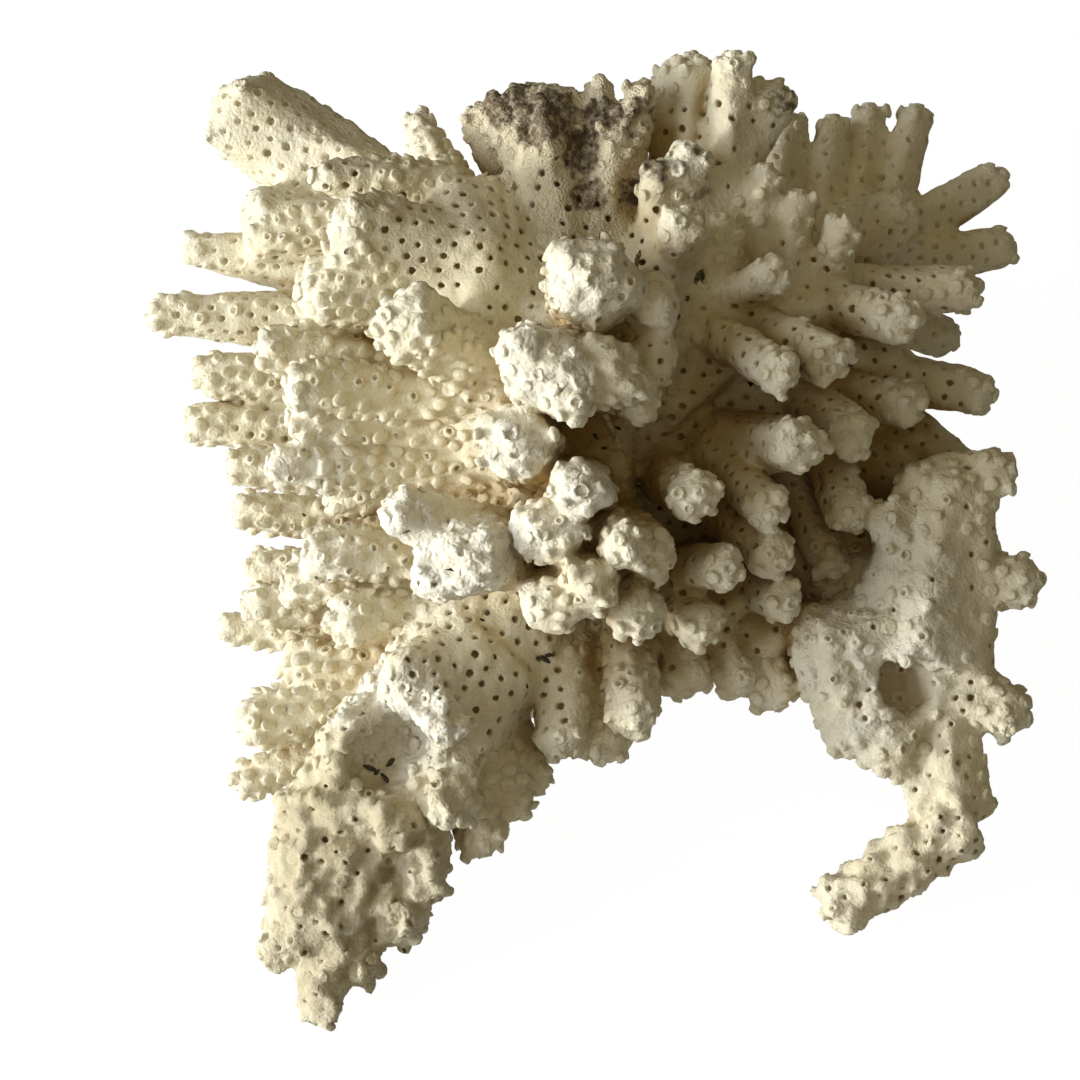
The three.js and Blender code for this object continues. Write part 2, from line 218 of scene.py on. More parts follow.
# patches found by looking along the photo's own sight lines: [across, down, radius in mm, strength]
patches = {
    "stain": [
        [540, 110, 6, 0.9], [580, 150, 4, 0.9], [510, 100, 5, 0.9], [605, 120, 4, 0.7],
        [640, 120, 4, 0.6], [590, 195, 3, 0.8],
        [635, 190, 3, 0.8], [685, 155, 4, 0.4], [655, 165, 3, 0.7], [780, 100, 3, 0.6], [700, 190, 2, 0.5],
    ],
    "chalk": [
        [440, 545, 10, 1], [390, 520, 6, 1], [500, 560, 7, 0.8], [400, 720, 9, 1], [370, 700, 7, 1],
        [430, 700, 7, 0.9],
        [590, 275, 7, 0.6], [515, 440, 6, 0.7], [540, 370, 7, 0.6], [590, 480, 8, 0.6],
        [300, 450, 9, 0.5], [320, 560, 8, 0.5], [905, 660, 5, 0.9], [890, 620, 12, 0.7], [850, 690, 9, 0.6],
    ],
    "smooth": [
        [270, 130, 13, 0.9], [330, 180, 9, 0.9], [470, 235, 14, 1], [560, 190, 7, 1], [600, 235, 7, 1],
        [625, 300, 7, 1], [520, 280, 9, 1], [640, 270, 10, 0.8], [670, 330, 8, 0.7], [490, 640, 13, 1],
        [520, 690, 10, 1],
        [440, 650, 8, 1], [680, 460, 7, 0.8], [720, 150, 7, 0.8],
    ],
    "eroded": [
        [300, 820, 10, 1], [350, 860, 10, 1], [330, 920, 10, 1], [320, 980, 10, 1], [400, 850, 9, 1],
        [450, 800, 8, 0.8],
        [390, 920, 8, 1], [440, 720, 7, 0.6], [350, 740, 6, 0.8], [385, 800, 7, 0.8], [905, 685, 8, 0.8],
        [840, 720, 8, 0.45],
        [870, 620, 13, 0.4], [900, 540, 9, 0.4], [880, 875, 10, 1], [840, 905, 8, 1], [915, 835, 9, 1],
        [920, 780, 7, 0.8], [540, 105, 8, 0.7], [435, 545, 9, 0.6],
    ],
    "hollow": [[904, 684, 3.4, 1], [915, 700, 2.6, 1], [372, 760, 4.5, 0.5], [400, 735, 3.5, 0.5]],
    "ringed": [
        [880, 560, 11, 1], [850, 640, 12, 1], [890, 640, 12, 1], [830, 690, 10, 1], [870, 730, 10, 1],
        [910, 600, 12, 1],
        [915, 520, 10, 1],
    ],
    # darker patches: partly grey dirt on the skeleton, partly painted shade where stems lie in shadow
    "dull": [
        [350, 860, 16, 1], [330, 950, 12, 1], [400, 800, 9, 0.6], [620, 640, 9, 0.6], [560, 720, 8, 0.5],
        [880, 560, 10, 0.6],
        [740, 590, 8, 0.6], [600, 235, 7, 0.9], [560, 205, 6, 0.7], [640, 265, 7, 0.9], [640, 200, 5, 0.7],
    ],
    "worn": [
        [588, 275, 7, 1], [515, 440, 5, 1], [535, 365, 6, 0.8], [410, 310, 5, 0.7], [460, 550, 9, 0.7],
        [595, 480, 4, 0.6],
    ],
}


def patchField(patchList):
    field = [0.0] * count
    for across, down, radius, strength in patchList:
        hit = coralTree.ray_cast(eye, sightLine(across, down))[0]
        if hit is None:
            continue
        for spot, index, far in nearPlaces.find_range(hit, radius * 1.3 * mm):
            fade = min(1, max(0, 1.3 - far / (radius * mm)) / 0.6)
            field[index] = max(field[index], fade * strength)
    return field


def soften(verts, factor):
    bmesh.ops.smooth_vert(
        coral, verts=verts, factor=factor, use_axis_x=True, use_axis_y=True, use_axis_z=True)


# stems are softened until their facets are gone, but not where the skeleton is broken and worn
coralTree = BVHTree.FromBMesh(coral)
eroded = patchField(patches["eroded"])
plain = patchField(patches["smooth"])
# each softening: how far from a tip it starts and how far right, in mm, and its rounds
softenings = [[3, -200, 10], [20, -200, 26], [12, -16, 40]]
for fromTip, fromRight, rounds in softenings:
    soft = [vert for vert in coral.verts if toTip[vert.index] > fromTip * mm and vert.co.z > 0]
    soft = [vert for vert in soft if vert.co.x > fromRight * mm]
    soft = [vert for vert in soft if eroded[vert.index] < skeleton["keptAbove"]]
    # every shrinking round is undone in size by a swelling one, so that thin stems stay as thick as they are
    for turn in range(rounds):
        for factor in (0.5, -0.52):
            soften(soft, factor)
# the thick plain stems are softened more
soft = [vert for vert in coral.verts if plain[vert.index] > skeleton["plainAbove"]]
soft = [vert for vert in soft if eroded[vert.index] < skeleton["keptAbove"]]
for turn in range(skeleton["plainSoftenings"]):
    soften(soft, 0.5)
coral.normal_update()

# erosion: crags, grooves and knobs on the broken, worn parts
erosion = {
    "crag": 3.0 * mm,
    "cragHeight": 1.5 * mm,
    "knob": 2.1 * mm,
    "knobHeight": 1.5 * mm,
    "hollow": 4 * mm,
}
hollow = patchField(patches["hollow"])
for vert in coral.verts:
    vert.co -= vert.normal * (erosion["hollow"] * hollow[vert.index])
for vert in coral.verts:
    if eroded[vert.index] > 0 and vert.co.z > 1 * mm:
        lump = noise.fractal(vert.co / erosion["crag"], 0.7, 2.2, 3) * erosion["cragHeight"]
        lump += (0.45 - noise.voronoi(vert.co / erosion["knob"])[0][0]) * erosion["knobHeight"]
        vert.co += vert.normal * (lump * eroded[vert.index])
coral.normal_update()

places = [vert.co.copy() for vert in coral.verts]
outward = [vert.normal.copy() for vert in coral.verts]
nearPlaces = pointTree()
coralTree = BVHTree.FromBMesh(coral)
tipward = []
for index in range(count):
    way = Vector()
    for other, length in neighbours[index]:
        way += (places[other] - places[index]) * ((toTip[index] - toTip[other]) / (length * length))
    tipward.append(way)
for turn in range(3):
    tipward = [
        sum((tipward[other] for other, length in neighbours[index]), tipward[index].copy())
        for index in range(count)
    ]
for index in range(count):
    way = tipward[index] - outward[index] * tipward[index].dot(outward[index])
    tipward[index] = way.normalized() if way.length > 1e-9 else outward[index].orthogonal().normalized()
report(f"growth followed: {len(tips)} tips")


# shelter: the share of the sky that the coral itself hides from each point, which also sets the painted shade
# of the recesses
shelter = {"rays": 10, "reach": 30 * mm}


def shelterField():
    rays = []
    for turn in range(shelter["rays"]):
        height = 0.25 + 0.7 * (turn + 0.5) / shelter["rays"]
        angle = turn * 2.39996
        flat = math.sqrt(1 - height * height)
        rays.append((flat * math.cos(angle), flat * math.sin(angle), height))
    field = []
    for index in range(count):
        upright = outward[index]
        side = upright.orthogonal().normalized()
        other = upright.cross(side)
        start = places[index] + upright * (0.4 * mm)
        hits = 0.0
        for x, y, z in rays:
            far = coralTree.ray_cast(start, side * x + other * y + upright * z, shelter["reach"])[3]
            if far is not None:
                hits += 1 - 0.6 * far / shelter["reach"]
        field.append(hits / shelter["rays"])
    return field


cavity = shelterField()
for turn in range(2):
    cavity = [
        (cavity[index] + sum(cavity[other] for other, length in neighbours[index]))
        / (1 + len(neighbours[index]))
        for index in range(count)
    ]
report("shelter measured")


stain = patchField(patches["stain"])
chalk = patchField(patches["chalk"])
worn = patchField(patches["worn"])
dull = patchField(patches["dull"])
ringed = patchField(patches["ringed"])
report("patches placed")


# which limb owns each point, evened out so that the forks are cut along clean lines
def limbOwners():
    corners = []
    faces = []
    owners = []
    for order, name in enumerate(nodeNames):
        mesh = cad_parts[name].data
        base = len(corners)
        corners.extend(vert.co.copy() for vert in mesh.vertices)
        for polygon in mesh.polygons:
            faces.append([base + corner for corner in polygon.vertices])
            owners.append(order)
    limbTree = BVHTree.FromPolygons(corners, faces)
    field = [owners[limbTree.find_nearest(place)[2]] for place in places]
    for turn in range(6):
        evened = []
        for index in range(count):
            votes = [field[other] for other, length in neighbours[index]] + [field[index]]
            evened.append(max(
                sorted(set(votes)), key=lambda owner: (votes.count(owner), owner == field[index])))
        field = evened
    return field


owner = limbOwners()
report("limbs told apart")


# cups: round petals at the tips, scales that lean to the tip along the fingers, round pits on the old stems
cups = {
    "spacing": 2.2 * mm,
    "petalSpacing": 0.6 * mm,
    "foot": 1.05 * mm,
    "lip": 0.8 * mm,
    "calmFrom": 14 * mm,
    "calmTo": 26 * mm,
    "calming": 0.5,
    "behindFrom": 0 * mm,
    "behindTo": -16 * mm,
    "behindCalming": 0.6,
    "petalWithin": 9 * mm,
    "tallWithin": 26 * mm,
    "flatBeyond": 52 * mm,
    "flatBelow": 0.2,
    "calmPits": 0.7,
    "hiddenBeyond": 0.8,
    "openShare": 0.2,
    "lostShare": 0.3,
    "pitDepth": 1.0 * mm,
    "openDepth": 0.6 * mm,
    "sides": 8,
    "wobble": 0.08 * mm,
    "pocketShade": 0.5,
}


def between(value, low, high):
    return min(1, max(0, (value - low) / (high - low)))


# the nubs are low on the right-hand side and at the back, where the fingers are worn smooth
def calmness(place):
    rightward = between(place.x, cups["calmFrom"], cups["calmTo"])
    return (1 - cups["calming"] * rightward) * (1 - cups["behindCalming"] * behindness(place))


def behindness(place):
    return between(-(place - photoView["middle"]).dot(viewNear), -cups["behindFrom"], -cups["behindTo"])


def petalShare(index):
    return max(0, 1 - toTip[index] / cups["petalWithin"], worn[index])


def cupSites():
    cell = cups["spacing"] + cups["petalSpacing"]
    grid = {}

    def isFree(index):
        place = places[index]
        room = cups["spacing"] + cups["petalSpacing"] * petalShare(index)
        key = [math.floor(value / cell) for value in place]
        for x in (-1, 0, 1):
            for y in (-1, 0, 1):
                for z in (-1, 0, 1):
                    for other, otherRoom in grid.get((key[0] + x, key[1] + y, key[2] + z), ()):
                        if (other - place).length < (room + otherRoom) / 2:
                            return False
        grid.setdefault(tuple(key), []).append((place, room))
        return True

    order = sorted(range(count), key=lambda index: toTip[index] + dice.uniform(0, 1.2 * mm))
    taken = [False] * count
    sites = []
    for index in tips + order:
        vert = coral.verts[index]
        if places[index].z < 2 * mm or len(vert.link_faces) != 4:
            continue
        ring = {corner.index for face in vert.link_faces for corner in face.verts}
        if len(ring) != 9 or any(taken[corner] for corner in ring):
            continue
        if dice.random() < cups["lostShare"] * eroded[index]:
            for corner in ring:
                taken[corner] = True
            continue
        if isFree(index):
            sites.append(index)
            for corner in ring:
                taken[corner] = True
    return sites


tipLayer = coral.verts.layers.float.new("tip")
cavityLayer = coral.verts.layers.float.new("cavity")
stainLayer = coral.verts.layers.float.new("stain")
chalkLayer = coral.verts.layers.float.new("chalk")
dirtAndShadeLayer = coral.verts.layers.float.new("dull")
pitShadeLayer = coral.verts.layers.float.new("pit")
fixedLayer = coral.verts.layers.int.new("fixed")
ownerLayer = coral.verts.layers.int.new("limb")
turnLayer = coral.verts.layers.float.new("turn")
liftLayer = coral.verts.layers.float.new("lift")
cupLayer = coral.faces.layers.int.new("cup")
for index, vert in enumerate(coral.verts):
    vert[tipLayer] = max(0, 1 - toTip[index] / growth["fade"])
    # painted shade in the recesses, lighter on the left and darker to the right
    vert[cavityLayer] = cavity[index] * (0.74 + 0.3 * between(vert.co.x, -12 * mm, 14 * mm))
    vert[stainLayer] = stain[index]
    vert[chalkLayer] = chalk[index]
    vert[dirtAndShadeLayer] = dull[index]
    # painted shade inside the broken hollows
    vert[pitShadeLayer] = 0.5 * hollow[index]
    vert[ownerLayer] = owner[index]


def cupPlan(site):
    ripe = between(toTip[site], cups["flatBeyond"], cups["tallWithin"])
    petal = petalShare(site)
    calm = calmness(places[site])
    ripe *= (1 - plain[site]) * (1 - 0.7 * worn[site]) * (1 - 0.8 * eroded[site])
    ripe *= calm + (1 - calm) * petal
    ripe *= (1 - 0.4 * chalk[site]) * dice.uniform(0.6, 1.3) * (1 - 0.6 * between(cavity[site], 0.35, 0.7))
    pitBelow = cups["flatBelow"] + cups["calmPits"] * (1 - calm) * (1 - petal)
    isTip = toTip[site] < 0.5 * mm
    kind = "bump"
    if (ripe < pitBelow or cavity[site] > cups["hiddenBeyond"]) and not isTip:
        kind = "pit"
    elif isTip or dice.random() < cups["openShare"] * (1 - petal):
        kind = "open"
    if ringed[site] > 0.4 and kind == "pit" and dice.random() < 0.75:
        kind = dice.choice(("open", "bump", "bump"))
        ripe = dice.uniform(0.35, 0.9)
    mouth = {"pit": 0.54, "open": 0.5, "bump": 0.5}[kind] * (1 - 0.2 * eroded[site])
    shade = {"pit": 1 - 0.8 * petal, "open": 0.5 - 0.4 * petal, "bump": 0}[kind]
    return {
        "kind": kind,
        "middle": places[site],
        "out": outward[site],
        "way": tipward[site],
        "side": outward[site].cross(tipward[site]),
        "lip": cups["lip"] * (0.5 if isTip else ripe * (0.75 if kind == "open" else 1)),
        "lean": 0 if isTip else (0.7 - 0.4 * petal) * (1 - 0.8 * ringed[site]),
        "slant": 0 if isTip else (0.5 if kind == "open" else -0.2) * (1 - petal) * (1 - 0.8 * ringed[site]),
        "size": (1 + 0.2 * petal) * (1.1 if isTip else dice.uniform(0.78, 1.12)),
        "rim": 0.86 if kind == "open" else 0.78 + 0.06 * petal,
        "mouth": mouth * dice.uniform(0.8, 1.12),
        "depth": {"pit": cups["pitDepth"], "open": cups["openDepth"], "bump": 0}[kind] * (1 - 0.6 * petal),
        "shade": shade * (1 - 0.6 * behindness(places[site])),
        "owner": owner[site],
    }


def growCups():
    sites = cupSites()
    plans = [cupPlan(site) for site in sites]
    bmesh.ops.dissolve_verts(coral, verts=[coral.verts[site] for site in sites])
    cupTree = KDTree(len(plans))
    for number, plan in enumerate(plans):
        cupTree.insert(plan["middle"], number)
    cupTree.balance()
    pits, nubs = [], []
    for face in coral.faces:
        if len(face.verts) == cups["sides"]:
            face[cupLayer] = cupTree.find(face.calc_center_median())[1]
            plan = plans[face[cupLayer]]
            roundRing(face, plan)
            (pits if plan["kind"] == "pit" else nubs).append(face)
    for rise in (0.6, 1.0):
        nubs = bmesh.ops.extrude_discrete_faces(coral, faces=nubs)["faces"]
        for face in nubs:
            plan = plans[face[cupLayer]]
            setRing(face, plan, rise, plan["rim"] if rise == 1 else 1.0)
            for vert in face.verts:
                vert[pitShadeLayer] = 0
    mouths = nubs + pits
    bmesh.ops.inset_individual(coral, faces=mouths, thickness=0.1 * mm)
    rises = {"pit": 0.0, "open": 0.97, "bump": 1.1}
    for face in mouths:
        plan = plans[face[cupLayer]]
        setRing(face, plan, rises[plan["kind"]], plan["mouth"])
        for vert in face.verts:
            # painted shade on the mouth ring of each pit and open cup
            vert[pitShadeLayer] = 0.25 * plan["shade"]
            vert[fixedLayer] = 0 if plan["kind"] == "bump" else 1
    sunken = [face for face in mouths if plans[face[cupLayer]]["kind"] != "bump"]
    floors = bmesh.ops.extrude_discrete_faces(coral, faces=sunken)["faces"]
    for face in floors:
        plan = plans[face[cupLayer]]
        middle = face.calc_center_median()
        inward = (plan["out"] + plan["way"] * (0.5 * plan["lean"])) * (plan["depth"] * plan["size"])
        for vert in face.verts:
            vert.co = middle + (vert.co - middle) * 0.75 - inward
            # painted shade on the floor of each hole
            vert[pitShadeLayer] = plan["shade"]
            vert[fixedLayer] = 1
    return len(nubs), len(pits)


def roundRing(face, plan):
    step = 2 * math.pi / cups["sides"]
    angles = []
    for vert in face.verts:
        reach = vert.co - plan["middle"]
        angles.append(math.atan2(reach.dot(plan["side"]), reach.dot(plan["way"])))
    sines = sum(math.sin(angle - turn * step) for turn, angle in enumerate(angles))
    cosines = sum(math.cos(angle - turn * step) for turn, angle in enumerate(angles))
    first = math.atan2(sines, cosines)
    for turn, vert in enumerate(face.verts):
        angle = first + turn * step
        lift = (vert.co - plan["middle"]).dot(plan["out"])
        flat = plan["way"] * math.cos(angle) + plan["side"] * math.sin(angle)
        vert.co = plan["middle"] + flat * (cups["foot"] * plan["size"]) + plan["out"] * lift
        if plan["kind"] != "pit":
            vert[pitShadeLayer] = cups["pocketShade"] * max(0, -math.cos(angle))
        vert[ownerLayer] = plan["owner"]
        vert[turnLayer] = angle
        vert[liftLayer] = lift


# one ring of a cup: rise is the share of the lip's height, width the share of the foot's radius
def setRing(face, plan, rise, width):
    for vert in face.verts:
        angle = vert[turnLayer]
        flat = plan["way"] * math.cos(angle) + plan["side"] * math.sin(angle)
        height = plan["lip"] * rise * (1 - plan["slant"] * math.cos(angle))
        wobble = Vector((dice.uniform(-1, 1), dice.uniform(-1, 1), dice.uniform(-1, 1))) * cups["wobble"]
        vert.co = plan["middle"] + flat * (cups["foot"] * plan["size"] * width) + wobble
        vert.co += plan["out"] * (height + vert[liftLayer] * width) + plan["way"] * (height * plan["lean"])


nubCount, pitCount = growCups()
report(f"cups grown: {nubCount} nubs and {pitCount} pits")


# crumb: the fine unevenness of every surface that isn't the flat foot
crumb = {
    "fine": 1.0 * mm,
    "fineHeight": 0.15 * mm,
    "coarse": 2.0 * mm,
    "coarseHeight": 0.36 * mm,
    "chalkGain": 1.5,
    "tipGain": 0.8,
}


def roughen():
    melted = [vert for vert in coral.verts if vert.co.z > 0.5 * mm and vert[fixedLayer] == 0]
    for turn in range(2):
        soften(melted, 0.3)
    coral.normal_update()
    moves = []
    for vert in coral.verts:
        if vert.co.z < 0.5 * mm:
            moves.append(None)
            continue
        gain = 1 + crumb["chalkGain"] * vert[chalkLayer] + crumb["tipGain"] * vert[tipLayer] ** 3
        gain *= (1 - 0.6 * vert[pitShadeLayer]) * calmness(vert.co)
        move = noise.noise(vert.co / crumb["fine"]) * crumb["fineHeight"]
        move += noise.noise(vert.co / crumb["coarse"] + Vector((7, 3, 5))) * crumb["coarseHeight"]
        moves.append(vert.normal * (move * gain))
    for vert, move in zip(coral.verts, moves):
        if move is not None:
            vert.co += move


roughen()
report("surface roughened")


# dirt lodged on the skeleton: dark crumbs as [across, down, length in mm, turn in degrees],
# and straw shreds as [across, down] of both ends with the radius in mm
dirt = {
    "crumbs": [
        [482, 620, 1.0, 25], [545, 659, 2.0, 35], [549, 655, 1.5, 80], [527, 686, 1.0, 0],
        [304, 515, 0.9, 40], [316, 577, 0.8, 0],
        [370, 768, 2.1, 20], [377, 772, 1.6, 60], [386, 779, 1.9, 35], [391, 762, 2.2, -60],
        [401, 955, 1.8, 60], [404, 950, 1.0, 0],
        [596, 437, 1.4, 20], [604, 448, 1.2, 60], [618, 428, 1.3, 50],
    ],
    "crumbShape": (0.5, 0.2, 0.16),
    "shreds": [
        [605, 414, 614, 438, 0.34], [613, 432, 620, 450, 0.4], [616, 440, 626, 457, 0.38],
        [607, 423, 611, 440, 0.22],
    ],
    "shredLift": 0.45 * mm,
    "shredTip": 0.12 * mm,
}


def spotOn(surface, across, down):
    sight = sightLine(across, down)
    place, upright, face, far = surface.ray_cast(eye, sight)
    if place is None:
        place, upright, face, far = surface.find_nearest(eye + sight * photoView["distance"])
    return place, upright


def crumbMesh(surface):
    crumbs = bmesh.new()
    for across, down, length, turn in dirt["crumbs"]:
        place, upright = spotOn(surface, across, down)
        made = bmesh.ops.create_icosphere(crumbs, subdivisions=2, radius=1)["verts"]
        for vert in made:
            vert.co *= 1 + 0.45 * noise.noise(vert.co * 1.7 + Vector((across, down, 0)))
        shape = Matrix.Diagonal(Vector(dirt["crumbShape"]) * (length * mm)).to_4x4()
        lie = upright.to_track_quat("Z", "X").to_matrix().to_4x4()
        lie = lie @ Matrix.Rotation(math.radians(turn), 4, "Z")
        bmesh.ops.transform(crumbs, matrix=Matrix.Translation(place) @ lie @ shape, verts=made)
    return crumbs


def shredMesh(surface):
    shreds = bmesh.new()
    for fromAcross, fromDown, toAcross, toDown, radius in dirt["shreds"]:
        start, upright = spotOn(surface, fromAcross, fromDown)
        end, endUpright = spotOn(surface, toAcross, toDown)
        start = start + upright * (0.1 * mm)
        end = end + endUpright * dirt["shredLift"]
        along = end - start
        made = bmesh.ops.create_cone(
            shreds, cap_ends=True, segments=6, radius1=radius * mm, radius2=dirt["shredTip"],
            depth=along.length)["verts"]
        for vert in made:
            vert.co.x *= 1.6
        lie = along.to_track_quat("Z", "X").to_matrix().to_4x4()
        bmesh.ops.transform(shreds, matrix=Matrix.Translation((start + end) / 2) @ lie, verts=made)
    return shreds


def finishedPiece(name, mesh):
    bmesh.ops.recalc_face_normals(mesh, faces=mesh.faces)
    for face in mesh.faces:
        face.smooth = True
    data = bpy.data.meshes.new(name)
    mesh.to_mesh(data)
    mesh.free()
    piece = bpy.data.objects.new(name, data)
    bpy.context.scene.collection.objects.link(piece)
    return piece


surface = BVHTree.FromBMesh(coral)
crumbPiece = finishedPiece("dirt.crumbs", crumbMesh(surface))
shredPiece = finishedPiece("dirt.shreds", shredMesh(surface))
report("dirt laid on")


# one piece for each limb, cut at the forks and closed a little below the surface there
forkCut = {"skirt": 1.4 * mm, "smallestIsland": 400}


def labelIslands():
    islands = []
    met = set()
    for start in coral.faces:
        if start in met:
            continue
        island = [start]
        met.add(start)
        for face in island:
            for edge in face.edges:
                for other in edge.link_faces:
                    if other not in met and other.material_index == start.material_index:
                        met.add(other)
                        island.append(other)
        islands.append(island)
    return islands


def limbPieces():
    for face in coral.faces:
        votes = [vert[ownerLayer] for vert in face.verts]
        face.material_index = max(sorted(set(votes)), key=votes.count)
        face.smooth = True
    for turn in range(3):
        for island in labelIslands():
            if len(island) < forkCut["smallestIsland"]:
                edges = [edge for face in island for edge in face.edges]
                rims = [other.material_index for edge in edges for other in edge.link_faces]
                rims = [label for label in rims if label != island[0].material_index]
                for face in island if rims else ():
                    face.material_index = max(sorted(set(rims)), key=rims.count)
    mesh = bpy.data.meshes.new("coral")
    coral.to_mesh(mesh)
    coral.free()
    for name in nodeNames:
        mesh.materials.append(bpy.data.materials.new("limb." + name))
    whole = bpy.data.objects.new("coral", mesh)
    bpy.context.scene.collection.objects.link(whole)
    bpy.ops.object.select_all(action="DESELECT")
    bpy.context.view_layer.objects.active = whole
    whole.select_set(True)
    bpy.ops.object.mode_set(mode="EDIT")
    bpy.ops.mesh.select_all(action="SELECT")
    bpy.ops.mesh.separate(type="MATERIAL")
    bpy.ops.object.mode_set(mode="OBJECT")
    pieces = {}
    for piece in bpy.context.selected_objects:
        if len(piece.data.materials) > 1:
            name = nodeNames[piece.data.polygons[0].material_index]
        else:
            name = piece.data.materials[0].name[5:]
        pieces[name] = piece
    return pieces


def rimLoops(mesh):
    loops = []
    met = set()
    for start in mesh.edges:
        if not start.is_boundary or start in met:
            continue
        loop = [start]
        met.add(start)
        for edge in loop:
            for vert in edge.verts:
                for other in vert.link_edges:
                    if other.is_boundary and other not in met:
                        met.add(other)
                        loop.append(other)
        loops.append(loop)
    return loops


def closePiece(piece):
    mesh = bmesh.new()
    mesh.from_mesh(piece.data)
    for vert in list(mesh.verts):
        if sum(edge.is_boundary for edge in vert.link_edges) > 2:
            bmesh.utils.vert_separate(vert, [])
    mesh.normal_update()
    rims = [edge for edge in mesh.edges if edge.is_boundary]
    normals = {tuple(vert.co): vert.normal.copy() for edge in rims for vert in edge.verts}
    for edge in rims:
        edge.smooth = False
    skirt = bmesh.ops.extrude_edge_only(mesh, edges=rims)["geom"]
    for vert in skirt:
        if isinstance(vert, bmesh.types.BMVert):
            vert[mesh.verts.layers.float["stain"]] = 0
            vert[mesh.verts.layers.float["pit"]] = 0
            vert.co -= normals[tuple(vert.co)] * forkCut["skirt"]
            vert.co.z = max(0, vert.co.z)
    bmesh.ops.holes_fill(mesh, edges=[edge for edge in mesh.edges if edge.is_boundary], sides=0)
    for loop in rimLoops(mesh):
        bmesh.ops.contextual_create(mesh, geom=loop)
    bmesh.ops.recalc_face_normals(mesh, faces=mesh.faces)
    gaps = sum(1 for edge in mesh.edges if not edge.is_manifold)
    triangles = sum(len(face.verts) - 2 for face in mesh.faces)
    mesh.to_mesh(piece.data)
    mesh.free()
    return triangles, gaps


# finishes: clean cream chalk, and the same chalk gone brown on the old stump, both with painted shade in
# recesses, pits and hollows
def nodeGroup(name, inputs, outputs):
    group = bpy.data.node_groups.new(name, "ShaderNodeTree")
    for socketName, kind, value in inputs:
        socket = group.interface.new_socket(socketName, in_out="INPUT", socket_type=kind)
        socket.default_value = value
    for socketName, kind in outputs:
        group.interface.new_socket(socketName, in_out="OUTPUT", socket_type=kind)
    return group, group.nodes.new("NodeGroupInput"), group.nodes.new("NodeGroupOutput")


def attributeValue(group, name):
    reader = group.nodes.new("ShaderNodeAttribute")
    reader.attribute_name = name
    return reader.outputs["Fac"]


def ramp(group, value, low, high):
    spread = group.nodes.new("ShaderNodeMapRange")
    spread.interpolation_type = "SMOOTHSTEP"
    spread.inputs["From Min"].default_value = low
    spread.inputs["From Max"].default_value = high
    group.links.new(value, spread.inputs["Value"])
    return spread.outputs["Result"]


def mixed(group, share, first, second, way="MIX"):
    mixer = group.nodes.new("ShaderNodeMix")
    mixer.data_type = "RGBA"
    mixer.blend_type = way
    for value, socket in ((share, mixer.inputs[0]), (first, mixer.inputs[6]), (second, mixer.inputs[7])):
        if isinstance(value, (float, int, tuple)):
            socket.default_value = value
        else:
            group.links.new(value, socket)
    return mixer.outputs[2]


def sums(group, way, first, second):
    adder = group.nodes.new("ShaderNodeMath")
    adder.operation = way
    for value, socket in ((first, adder.inputs[0]), (second, adder.inputs[1])):
        if isinstance(value, (float, int)):
            socket.default_value = value
        else:
            group.links.new(value, socket)
    return adder.outputs[0]


def speckle(group, where, size, detail=3.0):
    cloud = group.nodes.new("ShaderNodeTexNoise")
    cloud.inputs["Scale"].default_value = 1 / size
    cloud.inputs["Detail"].default_value = detail
    group.links.new(where, cloud.inputs["Vector"])
    return cloud.outputs["Fac"]


